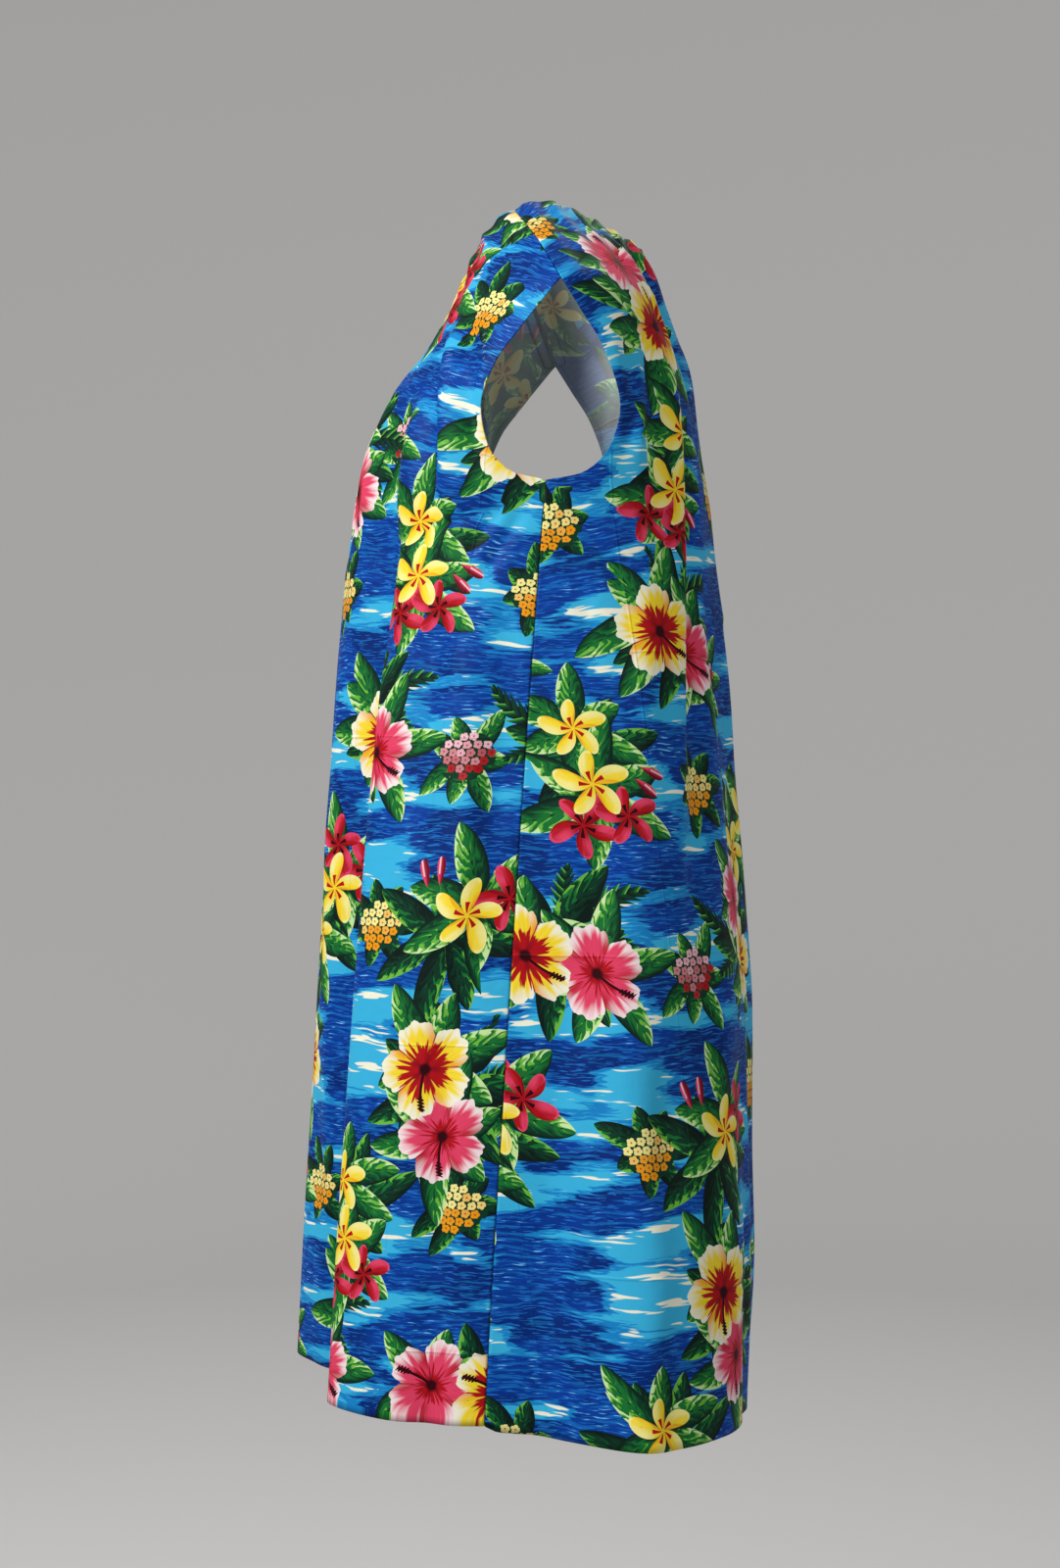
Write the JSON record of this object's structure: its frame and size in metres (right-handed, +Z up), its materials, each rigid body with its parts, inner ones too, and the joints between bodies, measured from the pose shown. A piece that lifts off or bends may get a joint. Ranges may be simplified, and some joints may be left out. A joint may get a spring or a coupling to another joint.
{
  "type": "muumuu dress",
  "caption": "Sleeveless, knee length muumuu dress of printed cloth in its hollow worn form, open at the neck, armholes and hem.",
  "frame": {"origin": "between the wearer's shoulders, level with the top of the neck edge, where the shoulders carry the dress", "axes": "+Z up, -Y to the wearer's front, +X to the wearer's left"},
  "size_m": [0.4748, 0.3766, 0.9481],
  "materials": {
    "printed_cloth": "crisp, smooth printed cotton and polyester broadcloth with a slight sheen"
  },
  "bodies": {
    "root": {"front_panel": "printed_cloth", "back_panel": "printed_cloth"}
  },
  "joints": []
}
